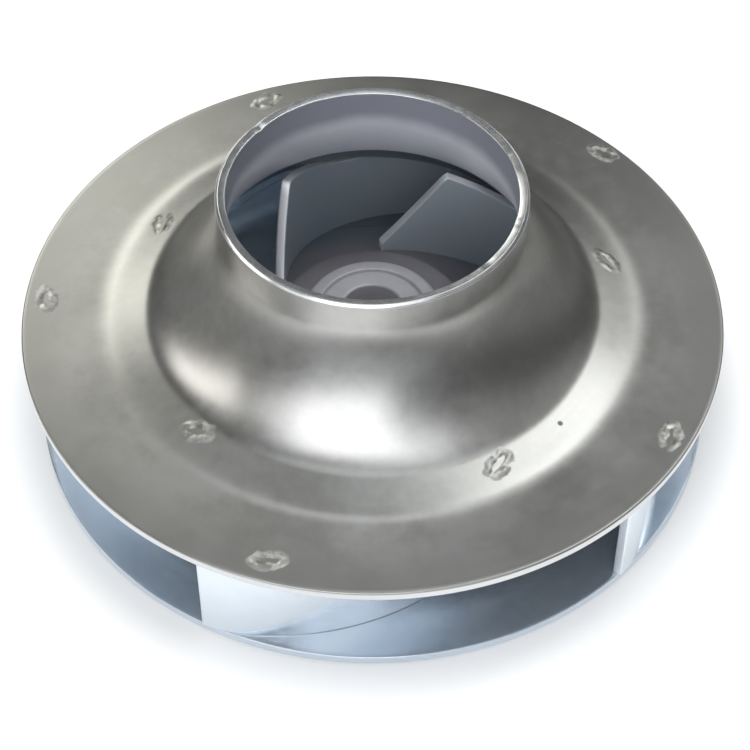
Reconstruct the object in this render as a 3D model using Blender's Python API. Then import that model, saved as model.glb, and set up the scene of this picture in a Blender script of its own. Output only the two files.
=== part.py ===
"""A closed centrifugal pump impeller made of stamped and welded sheet steel.

The rotation axis is Z. The rear face of the back plate lies on Z = 0 and the inlet neck points up.
"""

import math

import bmesh
import bpy

# Driving dimensions, in metres
SHEET = 0.0020
VANE_SHEET = 0.0020
CONTACT_GAP = 0.0003

RIM_RADIUS = 0.0700
RIM_TOP = 0.0251
BACK_RADIUS = 0.0683

NECK_RADIUS = 0.0298
MOUTH_TOP = 0.0560
NECK_BASE = 0.0503

LAND_INNER_RADIUS = 0.0455
LAND_INNER_RISE = 0.0022
LAND_OUTER_RADIUS = 0.0512
LAND_OUTER_RISE = 0.00055
LAND_FOOT_RADIUS = 0.0545
FLARE_TOP_HANDLE = 0.0085
FLARE_TOP_DRIFT = 0.0008
FLARE_FOOT_HANDLE = 0.0056

HUB_RADIUS = 0.0138
HUB_TOP = 0.0250
HUB_REAR = 0.0090
BORE_RADIUS = 0.0060
HUB_CHAMFER = 0.0010

COLLAR_RADIUS = 0.0141
CONE_TOP_RADIUS = 0.0190
CONE_TOP = 0.0217
CONE_TOP_HANDLE = (0.0120, -0.0071)
CONE_FOOT_RADIUS = 0.0600
CONE_FOOT_HANDLE = 0.0120

VANE_COUNT = 5
VANE_TIP_ANGLE = math.radians(241.8)
VANE_TIP = (0.0680, 0.0)
VANE_TIP_HANDLE = (0.0647, 0.0312)
VANE_TOE_HANDLE = (0.0098, 0.0650)
VANE_TOE = (-0.0136, 0.0151)
TOE_HEIGHT = 0.0006
HEAD_RADIUS = 0.0276
HEAD_TOP = 0.0393
HEAD_MEET_RADIUS = 0.0375

# How finely round and curved forms are divided
TURN_STEPS = 72
HUB_STEPS = 40
FLARE_POINTS = 11
CONE_POINTS = 11
VANE_POINTS = 49

STEEL = (0.56, 0.56, 0.54, 1.0)
PLATE_STEEL = (0.50, 0.52, 0.54, 1.0)
VANE_STEEL = (0.48, 0.51, 0.54, 1.0)
HUB_STEEL = (0.62, 0.62, 0.64, 1.0)


def clear_scene():
    for found in list(bpy.data.objects):
        bpy.data.objects.remove(found, do_unlink=True)


def steel_material(name, colour, roughness):
    material = bpy.data.materials.new(name)
    material.use_nodes = True
    shader = material.node_tree.nodes["Principled BSDF"]
    shader.inputs["Base Color"].default_value = colour
    shader.inputs["Metallic"].default_value = 1.0
    shader.inputs["Roughness"].default_value = roughness
    return material


def placed(name, mesh, material):
    piece = bpy.data.objects.new(name, mesh)
    bpy.context.scene.collection.objects.link(piece)
    mesh.materials.append(material)
    return piece


def shade_round(mesh, sharp_degrees=32):
    mesh.shade_smooth()
    mesh.set_sharp_from_angle(angle=math.radians(sharp_degrees))


def cubic(start, first_handle, second_handle, end, count):
    """Evenly stepped points of a Bezier curve, ends included."""
    points = []
    for step in range(count):
        t = step / (count - 1)
        weights = ((1 - t) ** 3, 3 * t * (1 - t) ** 2, 3 * t * t * (1 - t), t ** 3)
        corners = (start, first_handle, second_handle, end)
        points.append(tuple(sum(w * c[axis] for w, c in zip(weights, corners)) for axis in (0, 1)))
    return points


def offset_inwards(points, distance):
    """The polyline moved sideways, to the right of its direction of travel."""
    moved = []
    for index, (r, z) in enumerate(points):
        before = points[max(index - 1, 0)]
        after = points[min(index + 1, len(points) - 1)]
        sides = []
        for start, end in ((before, (r, z)), ((r, z), after)):
            length = math.dist(start, end)
            if length > 0:
                sides.append(((end[1] - start[1]) / length, -(end[0] - start[0]) / length))
        normal_r = sum(side[0] for side in sides) / len(sides)
        normal_z = sum(side[1] for side in sides) / len(sides)
        square = normal_r ** 2 + normal_z ** 2
        moved.append((r + distance * normal_r / square, z + distance * normal_z / square))
    return moved


def shroud_outer_profile():
    """From the mouth down the neck, out over the flare and the weld land, to the rim."""
    neck_foot = (NECK_RADIUS, NECK_BASE)
    flare_foot = (LAND_INNER_RADIUS, RIM_TOP + LAND_INNER_RISE)
    land_outer = (LAND_OUTER_RADIUS, RIM_TOP + LAND_OUTER_RISE)
    fall = math.atan2(LAND_INNER_RISE - LAND_OUTER_RISE, LAND_OUTER_RADIUS - LAND_INNER_RADIUS)
    first_handle = (NECK_RADIUS + FLARE_TOP_DRIFT, NECK_BASE - FLARE_TOP_HANDLE)
    second_handle = (
        flare_foot[0] - FLARE_FOOT_HANDLE * math.cos(fall),
        flare_foot[1] + FLARE_FOOT_HANDLE * math.sin(fall),
    )
    points = [(NECK_RADIUS, MOUTH_TOP)]
    points += cubic(neck_foot, first_handle, second_handle, flare_foot, FLARE_POINTS)
    points += [land_outer, (LAND_FOOT_RADIUS, RIM_TOP), (RIM_RADIUS, RIM_TOP)]
    return points


def shroud_inner_profile():
    """The same sheet's other side, with both cut edges square."""
    inner = offset_inwards(shroud_outer_profile(), SHEET)
    inner[0] = (NECK_RADIUS - SHEET, MOUTH_TOP)
    inner[-1] = (RIM_RADIUS, RIM_TOP - SHEET)
    return inner


def back_upper_profile():
    """The back plate's upper side, from the hub collar down the cone and out to the rim."""
    cone_top = (CONE_TOP_RADIUS, CONE_TOP)
    top_handle = (CONE_TOP_RADIUS + CONE_TOP_HANDLE[0], CONE_TOP + CONE_TOP_HANDLE[1])
    cone_foot = (CONE_FOOT_RADIUS, SHEET)
    foot_handle = (CONE_FOOT_RADIUS - CONE_FOOT_HANDLE, SHEET)
    points = [(COLLAR_RADIUS, CONE_TOP)]
    points += cubic(cone_top, top_handle, foot_handle, cone_foot, CONE_POINTS)
    points.append((BACK_RADIUS, SHEET))
    return points


def back_lower_profile():
    lower = offset_inwards(back_upper_profile(), SHEET)
    lower[0] = (COLLAR_RADIUS, CONE_TOP - SHEET)
    lower[-1] = (BACK_RADIUS, 0.0)
    return lower


def height_at(profile, radius):
    """Height of a profile at a radius, where the profile runs outwards."""
    for (r0, z0), (r1, z1) in zip(profile, profile[1:]):
        if min(r0, r1) <= radius <= max(r0, r1) and r1 != r0:
            return z0 + (z1 - z0) * (radius - r0) / (r1 - r0)
    return profile[-1][1]


def turned(name, loop, steps, material):
    """A closed outline in the XZ plane, turned once round the Z axis."""
    mesh = bpy.data.meshes.new(name)
    count = len(loop)
    edges = [(index, (index + 1) % count) for index in range(count)]
    mesh.from_pydata([(r, 0.0, z) for r, z in loop], edges, [])
    piece = placed(name, mesh, material)
    screw = piece.modifiers.new("Turn", "SCREW")
    screw.axis = "Z"
    screw.angle = 2 * math.pi
    screw.steps = steps
    screw.render_steps = steps
    screw.use_merge_vertices = True
    screw.merge_threshold = 0.00001
    screw.use_smooth_shade = True
    return piece


def make_front_shroud(material):
    loop = shroud_outer_profile() + shroud_inner_profile()[::-1]
    return turned("front_shroud", loop, TURN_STEPS, material)


def make_back_plate(material):
    loop = back_upper_profile() + back_lower_profile()[::-1]
    return turned("back_plate", loop, TURN_STEPS, material)


def make_hub(material):
    loop = [
        (BORE_RADIUS, HUB_TOP),
        (HUB_RADIUS - HUB_CHAMFER, HUB_TOP),
        (HUB_RADIUS, HUB_TOP - HUB_CHAMFER),
        (HUB_RADIUS, HUB_REAR + HUB_CHAMFER),
        (HUB_RADIUS - HUB_CHAMFER, HUB_REAR),
        (BORE_RADIUS, HUB_REAR),
    ]
    return turned("hub_sleeve", loop, HUB_STEPS, material)


def under_shroud(radius):
    return height_at(shroud_inner_profile(), min(radius + VANE_SHEET / 2, RIM_RADIUS)) - CONTACT_GAP


def over_cone(radius):
    return height_at(back_upper_profile(), radius - VANE_SHEET / 2) + CONTACT_GAP


def vane_top(radius):
    """Height of a vane's upper edge: slanted leading edge, trimmed head, then close under the shroud."""
    if radius >= HEAD_MEET_RADIUS:
        return under_shroud(radius)
    toe_radius = math.hypot(*VANE_TOE)
    corners = [
        (toe_radius, over_cone(toe_radius) + TOE_HEIGHT),
        (HEAD_RADIUS, HEAD_TOP),
        (HEAD_MEET_RADIUS, under_shroud(HEAD_MEET_RADIUS)),
    ]
    return height_at(corners, max(radius, toe_radius))


def vane_mid_surface():
    """The middle surface of an upright vane with its tip at angle zero."""
    mesh = bpy.data.meshes.new("vane")
    build = bmesh.new()
    lower, upper = [], []
    for x, y in cubic(VANE_TOE, VANE_TOE_HANDLE, VANE_TIP_HANDLE, VANE_TIP, VANE_POINTS):
        radius = math.hypot(x, y)
        low = over_cone(radius)
        lower.append(build.verts.new((x, y, low)))
        upper.append(build.verts.new((x, y, max(vane_top(radius), low + TOE_HEIGHT))))
    for index in range(len(lower) - 1):
        build.faces.new((lower[index], lower[index + 1], upper[index + 1], upper[index]))
    build.normal_update()
    build.to_mesh(mesh)
    build.free()
    return mesh


def make_vanes(material):
    mesh = vane_mid_surface()
    shade_round(mesh)
    for number in range(VANE_COUNT):
        piece = bpy.data.objects.new(f"vane_{number + 1}", mesh)
        bpy.context.scene.collection.objects.link(piece)
        piece.rotation_euler.z = VANE_TIP_ANGLE + number * 2 * math.pi / VANE_COUNT
        sheet = piece.modifiers.new("Sheet", "SOLIDIFY")
        sheet.thickness = VANE_SHEET
        sheet.offset = 0.0
        sheet.use_even_offset = True
    mesh.materials.append(material)


def main():
    clear_scene()
    shroud_steel = steel_material("shroud_steel", STEEL, 0.32)
    plate_steel = steel_material("plate_steel", PLATE_STEEL, 0.30)
    vane_steel = steel_material("vane_steel", VANE_STEEL, 0.28)
    hub_steel = steel_material("hub_steel", HUB_STEEL, 0.25)
    make_front_shroud(shroud_steel)
    make_back_plate(plate_steel)
    make_vanes(vane_steel)
    make_hub(hub_steel)


main()
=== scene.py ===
"""The looks of a closed sheet-steel pump impeller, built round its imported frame.

Lengths are in metres. The rotation axis is Z and the inlet neck points up.
"""

import math
from collections import namedtuple

import bpy
import numpy as np
from mathutils import Matrix, Vector, noise


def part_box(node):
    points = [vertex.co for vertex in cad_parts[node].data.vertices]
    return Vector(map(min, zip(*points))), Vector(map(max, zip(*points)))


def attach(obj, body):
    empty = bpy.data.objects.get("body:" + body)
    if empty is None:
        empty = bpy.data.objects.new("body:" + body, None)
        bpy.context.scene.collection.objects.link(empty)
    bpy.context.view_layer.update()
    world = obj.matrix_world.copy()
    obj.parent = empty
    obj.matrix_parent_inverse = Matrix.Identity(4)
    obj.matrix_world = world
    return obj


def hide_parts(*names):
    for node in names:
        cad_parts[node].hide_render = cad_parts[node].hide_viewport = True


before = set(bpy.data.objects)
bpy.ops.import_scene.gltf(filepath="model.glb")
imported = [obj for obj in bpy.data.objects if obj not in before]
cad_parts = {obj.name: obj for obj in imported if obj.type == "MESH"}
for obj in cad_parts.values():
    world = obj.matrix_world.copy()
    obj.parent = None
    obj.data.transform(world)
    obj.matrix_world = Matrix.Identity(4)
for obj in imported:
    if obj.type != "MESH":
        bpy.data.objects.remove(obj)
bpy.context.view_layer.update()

# Sizes taken from the frame. The lip stands a little higher than the solid's.
SHROUD_LOW, SHROUD_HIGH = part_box("front_shroud")
PLATE_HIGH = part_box("back_plate")[1]
HUB_LOW, HUB_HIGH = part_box("hub_sleeve")
RIM_RADIUS = SHROUD_HIGH.x
MOUTH_RISE = 0.0013
MOUTH_TOP = SHROUD_HIGH.z + MOUTH_RISE
BACK_RADIUS = PLATE_HIGH.x
HUB_RADIUS = HUB_HIGH.x
HUB_TOP = HUB_HIGH.z
HUB_REAR = HUB_LOW.z

# Sheet and profiles. The weld land has a softer foot than the solid's.
SHEET = 0.0020
RIM_TOP = SHROUD_LOW.z + SHEET
NECK_RADIUS = 0.0298
NECK_BASE = 0.0503
FLARE_TOP_HANDLE = (0.0306, 0.0418)
FLARE_FOOT_HANDLE = (0.04012, RIM_TOP + 0.00375)
LAND_INNER = (0.0455, RIM_TOP + 0.0022)
LAND_OUTER = (0.0478, RIM_TOP + 0.00154)
LAND_FOOT_HANDLE = (0.0531, RIM_TOP)
LAND_FOOT = (0.0572, RIM_TOP)
CONE_TOP = (0.0190, PLATE_HIGH.z)
CONE_TOP_HANDLE = (0.0310, 0.0146)
CONE_FOOT_HANDLE = (0.0480, SHEET)
CONE_FOOT = (0.0600, SHEET)
COLLAR_RADIUS = 0.0141
BORE_RADIUS = 0.0060

# Soft bends and cut edges
EDGE_ROUND = 0.0003
RIM_ROUND = 0.0006
LIP_CHAMFER_WIDTH = 0.0005
LIP_CHAMFER_HEIGHT = 0.0006
LIP_FALL = 0.00025
CONE_BEND = 0.0020
BORE_ROUND = 0.0006
FILLET_SHARE = 0.45

# Wear of the lip: its waves, then the angle and half width in degrees and the depth of each nick
LIP_WAVE = 0.00016
LIP_WAVE_RATE = 3.0
LIP_SWAY = 0.4
LIP_LOSS = 0.0001
LIP_NICKS = (
    (141.0, 2.4, 0.00022),
    (166.0, 2.2, 0.00009),
    (22.0, 2.6, 0.00008),
    (343.0, 2.8, 0.00013),
    (318.0, 3.2, 0.00010),
)

# The hub's front face, with a groove between its inner and its lower outer ring
GROOVE_INNER = 0.0099
GROOVE_OUTER = 0.0108
GROOVE_DEPTH = 0.0016
GROOVE_FLOOR_ROUND = 0.0002
HUB_RING_DROP = 0.0003
HUB_EDGE_DROP = 0.0007
HUB_EDGE_ROUND = 0.0012
HUB_REAR_ROUND = 0.0008
HUB_COLLAR_SINK = 0.0002

# The vanes
VANE_COUNT = 5
VANE_TIP_ANGLE = math.radians(241.8)
VANE_TIP = (0.0680, 0.0)
VANE_TIP_HANDLE = (0.0647, 0.0312)
VANE_TOE_HANDLE = (0.0098, 0.0650)
VANE_TOE = (-0.0136, 0.0151)
TOE_HEIGHT = 0.0022
HEAD_RADIUS = 0.0276
HEAD_TOP = 0.0393
HEAD_MEET_RADIUS = 0.0375
CONTACT_SINK = 0.00005
VANE_EDGE_ROUND = 0.00035
VANE_EDGE_ANGLE = math.radians(40)

# Weld marks: radius and angle in degrees of each on the shroud, outer and inner, one of each for a vane
OUTER_WELDS = ((0.0653, 253.1), (0.0658, 329.3), (0.0667, 42.1), (0.0658, 110.6), (0.0655, 178.0))
INNER_WELDS = ((0.0473, 225.4), (0.0478, 299.5), (0.0490, 13.5), (0.0480, 82.2), (0.0488, 152.5))
OUTER_REAR_RADIUS = 0.0630
INNER_REAR_RADIUS = 0.0470
WELD_LENGTH = 0.0086
WELD_WIDTH = 0.0062
WELD_SKIRT = 0.0006
REAR_WELD_STRENGTH = 0.5

# Relief of a weld mark. Widths, lengths and rates are for an oval that reaches from -1 to 1.
RAGGED_EDGE = 0.09
RAGGED_RATE = 1.5
BEAD_HEIGHT = 0.00015
BEAD_HALF_WIDTH = 0.50
BEAD_HALF_LENGTH = 0.72
BEAD_SPREAD = 0.34
BEAD_MEAN = 0.7
BEAD_CHANGE = 1.1
BEAD_RATE = 1.4
MOUND_HEIGHT = 0.00008
MOUND_SPREAD = 0.75
SLOT_DEPTH = 0.00013
SLOT_HALF_WIDTH = 0.15
SLOT_SIDE_STEEPNESS = 18
SLOT_HALF_LENGTH = 0.50
SLOT_END_STEEPNESS = 12
ROUGH_HEIGHT = 0.00009
ROUGH_RATES = (2.9, 3.6)
WELD_SINK = 0.00002

# Seeds of the weld marks: where they start, and strides that keep edge, bead and roughness apart
SEED_START = 1.85
SEED_PER_METRE = 100
EDGE_STRIDE = 5.1
BEAD_STRIDE = 7.7
ROUGH_STRIDE = 3.3

# How finely forms are divided
TURN_STEPS = 480
HUB_STEPS = 160
CORNER_POINTS = 6
STRAIGHT_NECK_POINTS = 8
FLARE_POINTS = 36
NECK_INSIDE_POINTS = 16
LAND_POINTS = 3
FOOT_POINTS = 13
SHROUD_RIM_POINTS = 12
SHROUD_UNDERSIDE_POINTS = 8
PLATE_RIM_POINTS = 6
VANE_POINTS = 150
WELD_RINGS = 30
WELD_SPOKES = 72

# Places in the shroud's, the plate's and the vanes' lists of materials, after the main side's
NECK_INSIDE, CUT_RIM, UNDERSIDE, LIP = 1, 2, 3, 4
PLATE_REAR = 1
VANE_EDGE = 1

# The photograph's camera, seen from the rim plane's centre
CAMERA_ELEVATION = math.radians(47.14)
CAMERA_DISTANCE = 6.0 * RIM_RADIUS
CAMERA_ROLL = math.radians(0.13)
IMAGE_SIDE = 750
FOCAL_PIXELS = 2095.0
SHIFT_RIGHT_PIXELS = -2.3
SHIFT_UP_PIXELS = 68.5
SENSOR = 36.0

# Floor: a painted pool of light, pale and glowing round the impeller and grey beyond it, with a painted
# contact shadow next to the impeller
FLOOR_REACH = 3.0
FLOOR_DROP = 0.00025
FLOOR_GREY = (0.38, 0.38, 0.38, 1)
FLOOR_PALE = (0.92, 0.92, 0.92, 1)
FLOOR_GLOW = 0.65
FLOOR_ROUGHNESS = 0.9
POOL_HALF_WIDTH = 0.112
POOL_HALF_LENGTH = 0.128
POOL_CENTRE_Y = 0.02
POOL_SQUARENESS = 4.0
POOL_EDGE = (1.0, 2.2)
CONTACT_SHADOW_RADII = (0.060, 0.084)

# Lights: azimuth, elevation, width and height in degrees, then radiance and colour
LIGHT_DISTANCE = 1.4
SOFT_BOXES = (
    ("front_box", -165, 32, 44, 36, 2.15, (0.95, 0.97, 1.0)),
    ("front_left_box", -131, 24, 24, 14, 1.1, (0.98, 1.0, 1.0)),
    ("right_front_box", 155, 46, 24, 34, 1.1, (0.96, 0.97, 1.0)),
    ("low_front_box", 180, 4, 70, 12, 0.35, (0.88, 0.95, 1.0)),
    ("left_box", -90, 21, 36, 16, 2.2, (1.0, 0.99, 0.94)),
    ("left_back_box", -26, 35, 27, 18, 2.15, (1.0, 1.0, 0.91)),
    ("far_left_box", -58, 58, 22, 22, 0.2, (1.0, 1.0, 0.92)),
    ("right_back_strip", 52, 58, 10, 32, 3.4, (0.98, 1.0, 0.98)),
    ("low_right_back_box", 30, 38, 18, 16, 1.0, (0.98, 1.0, 0.96)),
    ("back_top_box", -4, 69, 24, 8, 1.5, (0.94, 0.98, 1.0)),
    ("overhead_box", 165, 80, 54, 24, 0.7, (0.94, 0.99, 1.0)),
    ("right_box", 100, 36, 60, 34, 0.2, (0.98, 1.0, 0.97)),
)
ROOM_COLOUR = (0.96, 0.98, 1.0, 1)
ROOM_STRENGTH = 0.083


# Curves and profiles

def cubic(start, first_handle, second_handle, end, count):
    """Evenly stepped points of a Bezier curve, ends included."""
    t = np.linspace(0.0, 1.0, count)[:, None]
    corners = [np.array(corner) for corner in (start, first_handle, second_handle, end)]
    weights = ((1 - t) ** 3, 3 * t * (1 - t) ** 2, 3 * t ** 2 * (1 - t), t ** 3)
    return [tuple(point) for point in sum(w * c for w, c in zip(weights, corners))]


def offset_inwards(points, distance):
    """The polyline moved sideways, to the right of its direction of travel."""
    line = np.array(points)
    steps = np.diff(line, axis=0)
    steps /= np.linalg.norm(steps, axis=1)[:, None]
    sides = np.stack([steps[:, 1], -steps[:, 0]], axis=1)
    normals = np.vstack([sides[:1], (sides[:-1] + sides[1:]) / 2, sides[-1:]])
    normals /= (normals ** 2).sum(axis=1)[:, None]
    return [tuple(point) for point in line + distance * normals]


def filleted(before, corner, after, radius):
    """Points of a curve that rounds a corner and takes up less than half of either side."""
    a, b, c = (Vector(point) for point in (before, corner, after))
    into, out = (a - b).normalized(), (c - b).normalized()
    half = into.angle(out) / 2
    reach = min(radius / math.tan(half), FILLET_SHARE * (a - b).length, FILLET_SHARE * (c - b).length)
    start, end = b + into * reach, b + out * reach
    points = []
    for step in range(CORNER_POINTS):
        t = step / (CORNER_POINTS - 1)
        weights = (1 - t) ** 2, 2 * t * (1 - t), t ** 2
        points.append(tuple(start * weights[0] + b * weights[1] + end * weights[2]))
    return points


def rounded_loop(points):
    """A closed outline from (r, z) or (r, z, rounding) points."""
    loop = []
    count = len(points)
    for index, point in enumerate(points):
        if len(point) == 2:
            loop.append(point)
            continue
        before, after = points[index - 1][:2], points[(index + 1) % count][:2]
        loop += filleted(before, point[:2], after, point[2])
    return loop


def rounded_count(points):
    """How many points rounded_loop makes of these."""
    return sum(1 if len(point) == 2 else CORNER_POINTS for point in points)


def divided(start, end, count):
    """Points inside a straight stretch, ends left out."""
    a, b = Vector(start[:2]), Vector(end[:2])
    return [tuple(a.lerp(b, step / (count + 1))) for step in range(1, count + 1)]


def shroud_outer():
    """From the mouth down the neck, out over the flare and the weld land, to the rim."""
    flare = cubic((NECK_RADIUS, NECK_BASE), FLARE_TOP_HANDLE, FLARE_FOOT_HANDLE, LAND_INNER, FLARE_POINTS)
    land = divided(LAND_INNER, LAND_OUTER, LAND_POINTS)
    foot = cubic(LAND_OUTER, LAND_FOOT_HANDLE, LAND_FOOT_HANDLE, LAND_FOOT, FOOT_POINTS)
    return [(NECK_RADIUS, MOUTH_TOP)] + flare + land + foot + [(RIM_RADIUS, RIM_TOP)]


def shroud_inner():
    """The same sheet's other side, with both cut edges square."""
    inner = offset_inwards(shroud_outer(), SHEET)
    inner[0] = (NECK_RADIUS - SHEET, MOUTH_TOP)
    inner[-1] = (RIM_RADIUS, RIM_TOP - SHEET)
    return inner


def plate_upper():
    """From the hub collar down the cone and out to the rim."""
    cone = cubic(CONE_TOP, CONE_TOP_HANDLE, CONE_FOOT_HANDLE, CONE_FOOT, FLARE_POINTS)
    return [(COLLAR_RADIUS, CONE_TOP[1])] + cone + [(BACK_RADIUS, SHEET)]


def plate_lower():
    """The back plate's other side, with both cut edges square."""
    lower = offset_inwards(plate_upper(), SHEET)
    lower[0] = (COLLAR_RADIUS, CONE_TOP[1] - SHEET)
    lower[-1] = (BACK_RADIUS, 0.0)
    return lower


def height_at(profile, radius):
    """Height at a radius of a profile that runs outwards."""
    line = np.array(profile)
    return float(np.interp(radius, line[:, 0], line[:, 1]))


# Meshes

def shown(name, points, faces):
    """A smoothly shaded mesh in the scene."""
    mesh = bpy.data.meshes.new(name)
    mesh.from_pydata(points, [], faces)
    mesh.validate()
    piece = bpy.data.objects.new(name, mesh)
    bpy.context.scene.collection.objects.link(piece)
    mesh.shade_smooth()
    return piece


def turned(name, outline, steps, warp=None):
    """A closed outline turned once round Z. warp(r, angle, z) gives a moved (r, z)."""
    points = []
    for angle in np.linspace(0.0, 2 * math.pi, steps, endpoint=False):
        cosine, sine = math.cos(angle), math.sin(angle)
        for r, z in outline:
            if warp is not None:
                r, z = warp(r, angle, z)
            points.append((r * cosine, r * sine, z))
    count = len(outline)
    faces = []
    for turn in range(steps):
        here, there = turn * count, ((turn + 1) % steps) * count
        for index in range(count):
            after = (index + 1) % count
            faces.append((here + index, here + after, there + after, there + index))
    return shown(name, points, faces)


def paint(piece, count, material_index, *ranges):
    """Gives a material to the faces of a turned piece whose place along the outline is in a range."""
    for face in piece.data.polygons:
        place = face.index % count
        if any(start <= place < end for start, end in ranges):
            face.material_index = material_index


def finished(piece, materials, slot, *nodes):
    """Gives a piece its materials and its body, and hides the solids that it stands for."""
    for material in materials:
        piece.data.materials.append(material)
    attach(piece, "root")
    if nodes:
        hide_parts(*nodes)


def lip_wear(r, angle, z):
    """Small nicks and a slight unevenness, from nothing at the neck's base to their full size at the lip."""
    share = (z - NECK_BASE) / (MOUTH_TOP - NECK_BASE)
    if share <= 0.0:
        return r, z
    weight = share ** 3
    round_trip = Vector((math.cos(angle), math.sin(angle), 0.0))
    wave = noise.noise(round_trip * LIP_WAVE_RATE) * LIP_WAVE
    for place, width, depth in LIP_NICKS:
        gap = (angle - math.radians(place) + math.pi) % (2 * math.pi) - math.pi
        wave -= depth * math.exp(-(gap / math.radians(width)) ** 2)
    return r + LIP_SWAY * wave * weight, z + (min(wave, 0.0) - LIP_LOSS) * weight


def make_shroud(materials):
    """The drawn front sheet: flat rim, weld land, flare and inlet neck."""
    outer, inner = shroud_outer(), shroud_inner()
    chamfer_top = (NECK_RADIUS - LIP_CHAMFER_WIDTH, MOUTH_TOP, EDGE_ROUND)
    chamfer_foot = (NECK_RADIUS, MOUTH_TOP - LIP_CHAMFER_HEIGHT, EDGE_ROUND)
    lip_inside = (inner[0][0], MOUTH_TOP - LIP_FALL, EDGE_ROUND)
    loop = [chamfer_top, chamfer_foot]
    lip_end = rounded_count(loop) - 1
    loop += divided(chamfer_foot, outer[1], STRAIGHT_NECK_POINTS) + outer[1:-1]
    loop += divided(outer[-2], outer[-1], SHROUD_RIM_POINTS)
    loop += [(*outer[-1], RIM_ROUND), (*inner[-1], EDGE_ROUND)]
    rim_end = rounded_count(loop) - 1
    loop += divided(inner[-1], inner[-2], SHROUD_UNDERSIDE_POINTS) + inner[-2:NECK_INSIDE_POINTS:-1]
    underside_end = rounded_count(loop)
    loop += inner[NECK_INSIDE_POINTS:0:-1] + divided(inner[1], lip_inside, STRAIGHT_NECK_POINTS)
    neck_end = rounded_count(loop)
    outline = rounded_loop(loop + [lip_inside])
    count = len(outline)
    piece = turned("front_shroud_formed", outline, TURN_STEPS, lip_wear)
    paint(piece, count, NECK_INSIDE, (underside_end, neck_end))
    paint(piece, count, CUT_RIM, (rim_end - CORNER_POINTS, rim_end))
    paint(piece, count, UNDERSIDE, (rim_end, underside_end))
    paint(piece, count, LIP, (0, lip_end), (neck_end, count))
    finished(piece, materials, "shroud_steel", "front_shroud")


def make_plate(materials):
    """The rear sheet, which rises in a cone to the hub."""
    upper, lower = plate_upper(), plate_lower()
    loop = [(*upper[0], EDGE_ROUND), (*upper[1], CONE_BEND)] + upper[2:-1]
    loop += divided(upper[-2], upper[-1], PLATE_RIM_POINTS)
    loop += [(*upper[-1], EDGE_ROUND), (*lower[-1], EDGE_ROUND)]
    rear_start = rounded_count(loop)
    loop += divided(lower[-1], lower[-2], PLATE_RIM_POINTS) + lower[-2:1:-1]
    loop += [(*lower[1], CONE_BEND), (*lower[0], EDGE_ROUND)]
    outline = rounded_loop(loop)
    piece = turned("back_plate_formed", outline, TURN_STEPS)
    paint(piece, len(outline), PLATE_REAR, (rear_start, len(outline)))
    finished(piece, materials, "plate_steel", "back_plate")


def make_hub(materials):
    """The turned sleeve round the shaft bore."""
    groove_floor = HUB_TOP - GROOVE_DEPTH
    loop = [
        (BORE_RADIUS, HUB_TOP, BORE_ROUND),
        (GROOVE_INNER, HUB_TOP, EDGE_ROUND),
        (GROOVE_INNER, groove_floor, GROOVE_FLOOR_ROUND),
        (GROOVE_OUTER, groove_floor, GROOVE_FLOOR_ROUND),
        (GROOVE_OUTER, HUB_TOP - HUB_RING_DROP, EDGE_ROUND),
        (HUB_RADIUS, HUB_TOP - HUB_EDGE_DROP, HUB_EDGE_ROUND),
        (HUB_RADIUS, CONE_TOP[1] - HUB_COLLAR_SINK),
        (HUB_RADIUS, HUB_REAR, HUB_REAR_ROUND),
        (BORE_RADIUS, HUB_REAR, BORE_ROUND),
    ]
    piece = turned("hub_sleeve_turned", rounded_loop(loop), HUB_STEPS)
    finished(piece, materials, "hub_steel", "hub_sleeve")


def vane_line():
    """The middle line, in plan, of a vane with its tip at angle zero."""
    return cubic(VANE_TOE, VANE_TOE_HANDLE, VANE_TIP_HANDLE, VANE_TIP, VANE_POINTS)


def vane_heights(radius):
    """Lower and upper edge of a vane at a radius, just sunk into the sheets that it meets."""
    floor, ceiling = plate_upper(), shroud_inner()
    low = height_at(floor, radius) - CONTACT_SINK
    if radius >= HEAD_MEET_RADIUS:
        return low, height_at(ceiling, radius) + CONTACT_SINK
    toe_radius = math.hypot(*VANE_TOE)
    corners = [
        (toe_radius, height_at(floor, toe_radius) + TOE_HEIGHT),
        (HEAD_RADIUS, HEAD_TOP),
        (HEAD_MEET_RADIUS, height_at(ceiling, HEAD_MEET_RADIUS) + CONTACT_SINK),
    ]
    return low, height_at(corners, radius)


def make_vanes(materials):
    """The backswept vanes, each an upright curved sheet."""
    points = []
    for x, y in vane_line():
        low, high = vane_heights(math.hypot(x, y))
        points += [(x, y, low), (x, y, max(high, low + TOE_HEIGHT))]
    faces = [(2 * i, 2 * i + 2, 2 * i + 3, 2 * i + 1) for i in range(VANE_POINTS - 1)]
    for number in range(VANE_COUNT):
        piece = shown(f"vane_{number + 1}_formed", points, faces)
        turn = Matrix.Rotation(VANE_TIP_ANGLE + number * 2 * math.pi / VANE_COUNT, 4, "Z")
        piece.data.transform(turn)
        sheet = piece.modifiers.new("Sheet", "SOLIDIFY")
        sheet.thickness = SHEET
        sheet.offset = 0.0
        sheet.use_even_offset = True
        sheet.material_offset_rim = VANE_EDGE
        edges = piece.modifiers.new("Edges", "BEVEL")
        edges.width = VANE_EDGE_ROUND
        edges.segments = 2
        edges.limit_method = "ANGLE"
        edges.angle_limit = VANE_EDGE_ANGLE
        normals = piece.modifiers.new("Normals", "WEIGHTED_NORMAL")
        normals.weight = 100
        normals.keep_sharp = False
        finished(piece, materials, "vane_steel", f"vane_{number + 1}")


def soft_step(distance, edge, steepness):
    """1 inside an edge and 0 outside it, with a soft change between them."""
    return 1 / (1 + math.exp(steepness * (distance - edge)))


def noise_round(angle, rate, seed):
    """Noise that comes back to its start after a full turn."""
    return noise.noise(Vector((math.cos(angle) * rate, math.sin(angle) * rate, seed)))


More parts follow.
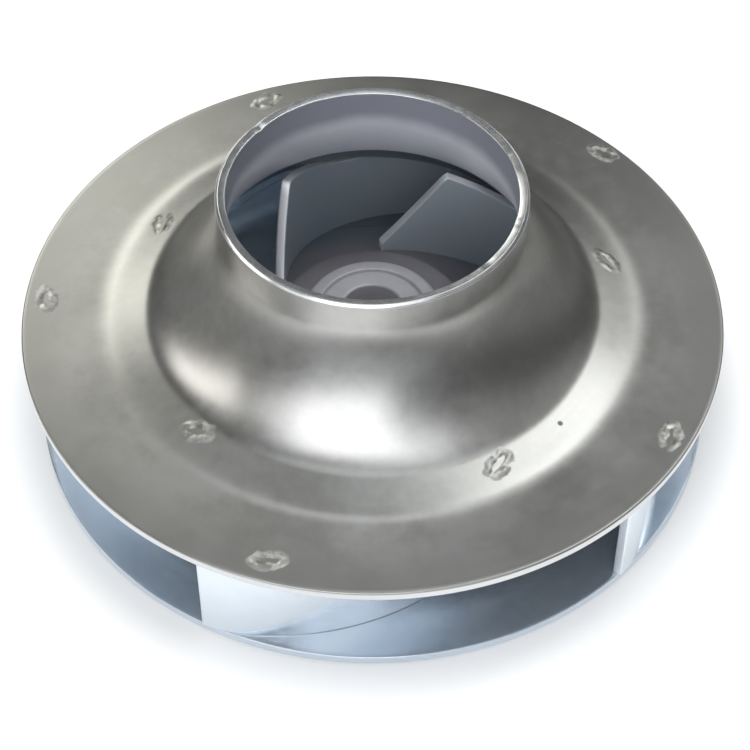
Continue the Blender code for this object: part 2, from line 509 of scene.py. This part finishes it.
def weld_height(across, along, seed):
    """Height of a weld mark over the sheet. across and along run from -1 to 1 over its oval."""
    reach = math.hypot(across, along)
    ring = math.hypot(across / BEAD_HALF_WIDTH, along / BEAD_HALF_LENGTH)
    turn = math.atan2(across, along)
    uneven = BEAD_MEAN + BEAD_CHANGE * noise_round(turn, BEAD_RATE, seed * BEAD_STRIDE)
    bead = BEAD_HEIGHT * uneven * math.exp(-((ring - 1.0) / BEAD_SPREAD) ** 2)
    mound = MOUND_HEIGHT * math.exp(-(reach / MOUND_SPREAD) ** 4)
    slot = soft_step(abs(across), SLOT_HALF_WIDTH, SLOT_SIDE_STEEPNESS)
    slot *= SLOT_DEPTH * soft_step(abs(along), SLOT_HALF_LENGTH, SLOT_END_STEEPNESS)
    grain = Vector((across * ROUGH_RATES[0], along * ROUGH_RATES[1], seed * ROUGH_STRIDE))
    rough = ROUGH_HEIGHT * noise.noise(grain)
    fade = max(0.0, 1 - reach ** 4)
    return (bead + mound - slot + rough) * fade - WELD_SINK


def make_weld(name, centre, heading, surface, upwards, materials, slot, seed, strength=1.0):
    """An oval weld mark that follows a turned surface, closed underneath."""
    turn = Matrix.Rotation(heading, 2)

    def raised(reach, angle):
        """A point of the mark's upper side. Its edge has a reach of 1."""
        along, across = reach * math.cos(angle), reach * math.sin(angle)
        ragged = 1 + RAGGED_EDGE * noise_round(angle, RAGGED_RATE, seed * EDGE_STRIDE)
        offset = turn @ Vector((along * WELD_LENGTH / 2, across * WELD_WIDTH / 2)) * ragged
        x, y = centre[0] + offset.x, centre[1] + offset.y
        base = height_at(surface, math.hypot(x, y))
        return x, y, base + upwards * strength * weld_height(across, along, seed)

    angles = [2 * math.pi * spoke / WELD_SPOKES for spoke in range(WELD_SPOKES)]
    reaches = [level / WELD_RINGS for level in range(1, WELD_RINGS + 1)]
    rings = [[raised(reach, angle) for angle in angles] for reach in reaches]
    rings.append([(x, y, z - upwards * WELD_SKIRT) for x, y, z in rings[-1]])
    reaches.append(1.0)
    points = sum(rings, []) + [raised(0.0, 0.0)]
    middle = len(points) - 1
    underside = tuple(range(middle - WELD_SPOKES, middle))[::-1]
    faces = [underside]
    for spoke in range(WELD_SPOKES):
        after = (spoke + 1) % WELD_SPOKES
        faces.append((middle, spoke, after))
        for level in range(WELD_RINGS):
            here, there = level * WELD_SPOKES, (level + 1) * WELD_SPOKES
            faces.append((here + spoke, there + spoke, there + after, here + after))
    if upwards < 0:
        faces = [face[::-1] for face in faces]
    piece = shown(name, points, faces)
    reach_layer = piece.data.attributes.new("reach", "FLOAT", "POINT")
    reach_layer.data.foreach_set("value", [*np.repeat(reaches, WELD_SPOKES), 0.0])
    finished(piece, materials, slot)


def make_welds(front_materials, rear_materials):
    """For each vane an outer and an inner weld mark, on the shroud and on the back plate's rear."""
    line = np.array(vane_line())
    radii = np.hypot(line[:, 0], line[:, 1])
    ahead = np.gradient(line, axis=0)
    upper, lower = shroud_outer(), plate_lower()
    rows = (("outer", OUTER_WELDS, OUTER_REAR_RADIUS), ("inner", INNER_WELDS, INNER_REAR_RADIUS))
    for place, welds, rear_radius in rows:
        for number, (radius, angle) in enumerate(welds):
            seed = number + SEED_START + radius * SEED_PER_METRE
            index = int(np.argmin(abs(radii - radius)))
            tilt = math.atan2(ahead[index, 1], ahead[index, 0]) - math.atan2(line[index, 1], line[index, 0])
            turn = math.radians(angle)
            spot = (radius * math.cos(turn), radius * math.sin(turn))
            make_weld(f"front_weld_{place}_{number + 1}", spot, turn + tilt, upper, 1,
                      front_materials, "shroud_steel", seed)
            index = int(np.argmin(abs(radii - rear_radius)))
            heading = math.atan2(ahead[index, 1], ahead[index, 0])
            turn = VANE_TIP_ANGLE + number * 2 * math.pi / VANE_COUNT
            spot = Matrix.Rotation(turn, 2) @ Vector(line[index])
            make_weld(f"rear_weld_{place}_{number + 1}", spot, heading + turn, lower, -1,
                      rear_materials, "plate_steel", seed, REAR_WELD_STRENGTH)


# Materials

Tint = namedtuple("Tint", "colour measure near far")
DullCentre = namedtuple("DullCentre", "roughness metallic inner outer")

# Scales of the steels' noises, and how they are mixed and spread
STAIN_SCALE = 38.0
SPECK_SCALE = 420.0
RING_SCALE = 1500.0
WAVE_SCALE = 55.0
PATCH_SCALE = 620.0
STAIN_SHARE_OF_COLOUR = 0.75
STAIN_SHARE_OF_WEAR = 0.5
COLOUR_SPREAD = (0.36, 0.66)
WEAR_SPREAD = (0.35, 0.65)
PATCH_SPREAD = (0.40, 0.60)
MELTED_REACH = (0.45, 0.95)
TINT_WANDER = 0.004
WAVE_HEIGHT = 0.0006

# The small dark pit on the weld land
PIT_PLACE = (0.0356, -0.0318, 0.0267)
PIT_RADIUS = 0.0007
PIT_COLOUR = (0.16, 0.15, 0.14, 1)

SHEET_LIGHT = (0.70, 0.695, 0.68, 1)
SHEET_DARK = (0.57, 0.56, 0.54, 1)
ROLLED_LIGHT = (0.80, 0.86, 0.92, 1)
ROLLED_DARK = (0.74, 0.80, 0.86, 1)

# Sockets of the colour mix node, which share their names
MIX_FACTOR, MIX_FIRST, MIX_SECOND = 0, 6, 7
MIX_RESULT = 2


class Nodes:
    """A short way to add and link shader nodes."""

    def __init__(self, tree):
        self.tree = tree

    def fill(self, socket, value):
        if isinstance(value, bpy.types.NodeSocket):
            self.tree.links.new(value, socket)
        else:
            socket.default_value = value

    def add(self, kind, inputs=(), **settings):
        node = self.tree.nodes.new(kind)
        for key, value in settings.items():
            setattr(node, key, value)
        for key, value in dict(inputs).items():
            self.fill(node.inputs[key], value)
        return node

    def place(self):
        return self.add("ShaderNodeTexCoord").outputs["Object"]

    def split(self, vector):
        return self.add("ShaderNodeSeparateXYZ", {"Vector": vector}).outputs

    def math(self, operation, *values):
        return self.add("ShaderNodeMath", dict(enumerate(values)), operation=operation).outputs[0]

    def total(self, first, second):
        return self.math("ADD", first, second)

    def product(self, first, second):
        return self.math("MULTIPLY", first, second)

    def weighted(self, first, second, share):
        """The mean of two values, of which the first counts for the given share."""
        return self.total(self.product(first, share), self.product(second, 1 - share))

    def noise(self, vector, scale, detail, roughness):
        inputs = {"Vector": vector, "Scale": scale, "Detail": detail, "Roughness": roughness}
        return self.add("ShaderNodeTexNoise", inputs).outputs["Fac"]

    def between(self, value, low, high, to_low=0.0, to_high=1.0):
        """to_low up to low, to_high from high on, and a soft change between them."""
        inputs = {"Value": value, "From Min": low, "From Max": high, "To Min": to_low, "To Max": to_high}
        return self.add("ShaderNodeMapRange", inputs, interpolation_type="SMOOTHSTEP").outputs["Result"]

    def mix(self, factor, first, second):
        node = self.add("ShaderNodeMix", data_type="RGBA")
        self.fill(node.inputs[MIX_FACTOR], factor)
        self.fill(node.inputs[MIX_FIRST], first)
        self.fill(node.inputs[MIX_SECOND], second)
        return node.outputs[MIX_RESULT]


def steel(name, light, dark, roughness, rings, bump=0.15, metallic=1.0, dull_centre=None, tints=(),
          pitted=False):
    """Sheet steel: faintly stained, with rings from forming and fine specks.

    light and dark are the colours of its stains. roughness is a pair, its smallest and its largest.
    rings is the rings' share of the finer wear, and the specks have the rest.
    A tint's measure is "radius" or "height", and the tint fades out from near to far.
    """
    material = bpy.data.materials.new(name)
    material.use_nodes = True
    tree = material.node_tree
    shader = tree.nodes["Principled BSDF"]
    nodes = Nodes(tree)
    place = nodes.place()
    x, y, height = nodes.split(place)
    radius = nodes.math("SQRT", nodes.total(nodes.product(x, x), nodes.product(y, y)))
    stains = nodes.noise(place, STAIN_SCALE, detail=5.0, roughness=0.6)
    specks = nodes.noise(place, SPECK_SCALE, detail=3.0, roughness=0.6)
    ring_place = nodes.add("ShaderNodeCombineXYZ", {"X": radius, "Z": height}).outputs[0]
    ring_lines = nodes.noise(ring_place, RING_SCALE, detail=3.0, roughness=0.7)

    blotches = nodes.weighted(stains, specks, STAIN_SHARE_OF_COLOUR)
    colour = nodes.mix(nodes.between(blotches, *COLOUR_SPREAD), dark, light)
    for tint in tints:
        measured = {"radius": radius, "height": height}[tint.measure]
        wandering = nodes.total(measured, nodes.product(stains, TINT_WANDER))
        near, far = tint.near + TINT_WANDER / 2, tint.far + TINT_WANDER / 2
        colour = nodes.mix(nodes.between(wandering, near, far), tint.colour, colour)
    if pitted:
        ends = {0: place, 1: PIT_PLACE}
        away = nodes.add("ShaderNodeVectorMath", ends, operation="DISTANCE").outputs["Value"]
        colour = nodes.mix(nodes.between(away, PIT_RADIUS / 2, PIT_RADIUS), PIT_COLOUR, colour)
    nodes.fill(shader.inputs["Base Color"], colour)

    wear = nodes.weighted(stains, nodes.weighted(ring_lines, specks, rings), STAIN_SHARE_OF_WEAR)
    smoothest, roughest = roughness
    rough = nodes.between(wear, *WEAR_SPREAD, smoothest, roughest)
    if dull_centre:
        inner, outer = dull_centre.inner, dull_centre.outer
        dull = nodes.between(radius, inner, outer, dull_centre.roughness, smoothest)
        rough = nodes.math("MAXIMUM", rough, dull)
        metallic = nodes.between(radius, inner, outer, dull_centre.metallic, metallic)
    nodes.fill(shader.inputs["Roughness"], rough)
    nodes.fill(shader.inputs["Metallic"], metallic)

    waves = nodes.noise(place, WAVE_SCALE, detail=2.0, roughness=0.5)
    inputs = {"Strength": bump, "Distance": WAVE_HEIGHT, "Height": waves}
    uneven = nodes.add("ShaderNodeBump", inputs).outputs["Normal"]
    nodes.fill(shader.inputs["Normal"], uneven)
    return material


def weld_steel(name, light, dark, pale, burnt):
    """The sheet's own metal at a weld's edge, turning to melted metal in pale and burnt patches."""
    material = steel(name, light, dark, (0.34, 0.48), rings=0.2)
    tree = material.node_tree
    base_colour = tree.nodes["Principled BSDF"].inputs["Base Color"]
    sheet = base_colour.links[0].from_socket
    nodes = Nodes(tree)
    reach = nodes.add("ShaderNodeAttribute", attribute_name="reach").outputs["Fac"]
    patch_noise = nodes.noise(nodes.place(), PATCH_SCALE, detail=2.0, roughness=0.5)
    patches = nodes.between(patch_noise, *PATCH_SPREAD)
    melted = nodes.mix(patches, burnt, pale)
    nodes.fill(base_colour, nodes.mix(nodes.between(reach, *MELTED_REACH), melted, sheet))
    return material


def outside_steel():
    darker_inwards = Tint((0.54, 0.535, 0.52, 1), "radius", near=0.0705, far=0.0570)
    return steel("shroud_steel_formed", SHEET_LIGHT, SHEET_DARK, (0.285, 0.34), rings=0.5,
                 tints=(darker_inwards,), pitted=True)


def neck_inside_steel():
    # Painted light and shade: the inside is near white and mostly matt to stand in for light reflected round
    # the inside of the neck, with a band of painted shade at the top under the lip.
    painted_shade_band = Tint((0.40, 0.41, 0.48, 1), "height", near=0.0525, far=0.0482)
    return steel("shroud_steel_inside", (0.93, 0.94, 1.0, 1), (0.86, 0.87, 0.95, 1), (0.34, 0.44), rings=0.5,
                 metallic=0.15, tints=(painted_shade_band,))


def cut_rim_steel():
    return steel("shroud_steel_rim", (0.74, 0.75, 0.76, 1), (0.67, 0.68, 0.69, 1), (0.29, 0.36), rings=0.0,
                 metallic=0.9)


def lip_steel():
    return steel("steel_sheared", (0.95, 0.96, 0.98, 1), (0.88, 0.89, 0.91, 1), (0.18, 0.26), rings=0.0,
                 metallic=0.9)


def plate_steel():
    # Painted shade: the plate, and the shroud's underside that shares this steel, is darker inside the
    # passages and brownish dark on the cone round the hub.
    painted_passage_shade = Tint((0.28, 0.32, 0.36, 1), "radius", near=0.052, far=0.061)
    painted_cone_shade = Tint((0.38, 0.35, 0.36, 1), "radius", near=0.022, far=0.034)
    return steel("plate_steel_rolled", (0.72, 0.79, 0.87, 1), (0.66, 0.73, 0.81, 1), (0.16, 0.24), rings=0.2,
                 bump=0.05, metallic=0.75, dull_centre=DullCentre(0.36, 0.6, inner=0.030, outer=0.046),
                 tints=(painted_passage_shade, painted_cone_shade))


def plate_rear_steel():
    return steel("plate_steel_rear", ROLLED_LIGHT, ROLLED_DARK, (0.29, 0.36), rings=0.4, bump=0.05,
                 metallic=0.9)


def vane_steel():
    # Painted shade: this tint makes the vanes darker inwards, where the shroud shades the passages.
    darker_inwards = Tint((0.54, 0.61, 0.67, 1), "radius", near=0.048, far=0.062)
    return steel("vane_steel_rolled", ROLLED_LIGHT, ROLLED_DARK, (0.16, 0.24), rings=0.0, bump=0.05,
                 metallic=0.9, dull_centre=DullCentre(0.36, 0.3, inner=0.046, outer=0.058),
                 tints=(darker_inwards,))


def vane_edge_steel():
    # Painted highlight: the vanes' cut edges are near white and partly matt, so that they show bright as if
    # catching the lamps.
    return steel("vane_steel_sheared_painted_highlight", (0.98, 0.99, 1.0, 1), (0.92, 0.93, 0.95, 1), (0.285, 0.34), rings=0.0,
                 metallic=0.6)


def hub_steel():
    return steel("hub_steel_turned", (0.92, 0.90, 0.92, 1), (0.80, 0.78, 0.80, 1), (0.30, 0.42), rings=0.9,
                 metallic=0.3)


def front_weld_steel():
    return weld_steel("weld_metal", SHEET_LIGHT, SHEET_DARK, pale=(0.84, 0.84, 0.81, 1),
                      burnt=(0.48, 0.47, 0.43, 1))


def rear_weld_steel():
    return weld_steel("rear_weld_metal", ROLLED_LIGHT, ROLLED_DARK, pale=(0.72, 0.71, 0.68, 1),
                      burnt=(0.40, 0.36, 0.32, 1))


def floor_paint():
    """A painted pool of light, pale and glowing near the impeller, grey far away, with no glow in the painted
    contact shadow.
    """
    material = bpy.data.materials.new("pale_floor")
    material.use_nodes = True
    tree = material.node_tree
    shader = tree.nodes["Principled BSDF"]
    nodes = Nodes(tree)
    place = nodes.place()
    x, y, _ = nodes.split(place)
    across = nodes.math("DIVIDE", x, POOL_HALF_WIDTH)
    along = nodes.math("DIVIDE", nodes.math("SUBTRACT", y, POOL_CENTRE_Y), POOL_HALF_LENGTH)
    sides = [nodes.math("POWER", nodes.math("ABSOLUTE", share), POOL_SQUARENESS) for share in (across, along)]
    # Painted pool of light: inside this rounded square the floor is pale and glows.
    pool = nodes.between(nodes.total(*sides), *POOL_EDGE, 1.0, 0.0)
    radius = nodes.add("ShaderNodeVectorMath", {0: place}, operation="LENGTH").outputs["Value"]
    # Painted contact shadow: no glow next to the impeller.
    clear = nodes.between(radius, *CONTACT_SHADOW_RADII)
    nodes.fill(shader.inputs["Base Color"], nodes.mix(pool, FLOOR_GREY, FLOOR_PALE))
    nodes.fill(shader.inputs["Emission Strength"], nodes.product(nodes.product(pool, clear), FLOOR_GLOW))
    shader.inputs["Emission Color"].default_value = (1.0, 1.0, 1.0, 1)
    shader.inputs["Roughness"].default_value = FLOOR_ROUGHNESS
    shader.inputs["Specular IOR Level"].default_value = 0.0
    return material


# Stage

def make_floor():
    sides = ((-1, -1), (1, -1), (1, 1), (-1, 1))
    corners = [(x * FLOOR_REACH, y * FLOOR_REACH, -FLOOR_DROP) for x, y in sides]
    floor = shown("floor", corners, [(0, 1, 2, 3)])
    floor.data.materials.append(floor_paint())


def direction(azimuth, elevation):
    """Azimuth 0 is straight behind the impeller, 90 to its right and 180 on the camera's side."""
    a, e = math.radians(azimuth), math.radians(elevation)
    return Vector((math.sin(a) * math.cos(e), math.cos(a) * math.cos(e), math.sin(e)))


def soft_box(name, azimuth, elevation, width, height, radiance, colour):
    """A rectangular light that faces the impeller and spans the given angles, in degrees."""
    light = bpy.data.lights.new(name, "AREA")
    light.shape = "RECTANGLE"
    light.size = 2 * LIGHT_DISTANCE * math.tan(math.radians(width / 2))
    light.size_y = 2 * LIGHT_DISTANCE * math.tan(math.radians(height / 2))
    light.energy = radiance * math.pi * light.size * light.size_y
    light.color = colour
    lamp = bpy.data.objects.new(name, light)
    toward = direction(azimuth, elevation)
    lamp.location = toward * LIGHT_DISTANCE + Vector((0, 0, RIM_TOP))
    lamp.rotation_euler = toward.to_track_quat("Z", "Y").to_euler()
    bpy.context.scene.collection.objects.link(lamp)


def make_room():
    """A dim room round the lights."""
    world = bpy.data.worlds.new("room")
    bpy.context.scene.world = world
    world.use_nodes = True
    background = world.node_tree.nodes["Background"]
    background.inputs["Color"].default_value = ROOM_COLOUR
    background.inputs["Strength"].default_value = ROOM_STRENGTH


def make_camera():
    """A camera in front, panned and pitched so that the rim plane's centre is where the photo has it."""
    right = Vector((1, 0, 0))
    up = Vector((0, math.sin(CAMERA_ELEVATION), math.cos(CAMERA_ELEVATION)))
    ahead = Vector((0, math.cos(CAMERA_ELEVATION), -math.sin(CAMERA_ELEVATION)))
    pan = math.atan2(SHIFT_RIGHT_PIXELS, FOCAL_PIXELS)
    pitch = math.atan2(SHIFT_UP_PIXELS, FOCAL_PIXELS)
    panned_right = right * math.cos(pan) + ahead * math.sin(pan)
    panned_ahead = ahead * math.cos(pan) - right * math.sin(pan)
    pitched_up = up * math.cos(pitch) + panned_ahead * math.sin(pitch)
    pitched_ahead = panned_ahead * math.cos(pitch) - up * math.sin(pitch)
    rolled_right = panned_right * math.cos(CAMERA_ROLL) - pitched_up * math.sin(CAMERA_ROLL)
    rolled_up = panned_right * math.sin(CAMERA_ROLL) + pitched_up * math.cos(CAMERA_ROLL)
    data = bpy.data.cameras.new("camera")
    data.sensor_fit = "HORIZONTAL"
    data.sensor_width = SENSOR
    data.lens = FOCAL_PIXELS * SENSOR / IMAGE_SIDE
    camera = bpy.data.objects.new("camera", data)
    axes = Matrix((rolled_right, rolled_up, -pitched_ahead)).transposed().to_4x4()
    centre = Vector((0, 0, RIM_TOP))
    camera.matrix_world = Matrix.Translation(centre - ahead * CAMERA_DISTANCE) @ axes
    bpy.context.scene.collection.objects.link(camera)
    bpy.context.scene.camera = camera


def main():
    rolled = plate_steel()
    make_shroud((outside_steel(), neck_inside_steel(), cut_rim_steel(), rolled, lip_steel()))
    make_plate((rolled, plate_rear_steel()))
    make_hub((hub_steel(),))
    make_vanes((vane_steel(), vane_edge_steel()))
    make_welds((front_weld_steel(),), (rear_weld_steel(),))
    make_floor()
    for box in SOFT_BOXES:
        soft_box(*box)
    make_room()
    make_camera()
    bpy.context.scene.view_settings.view_transform = "Standard"


main()
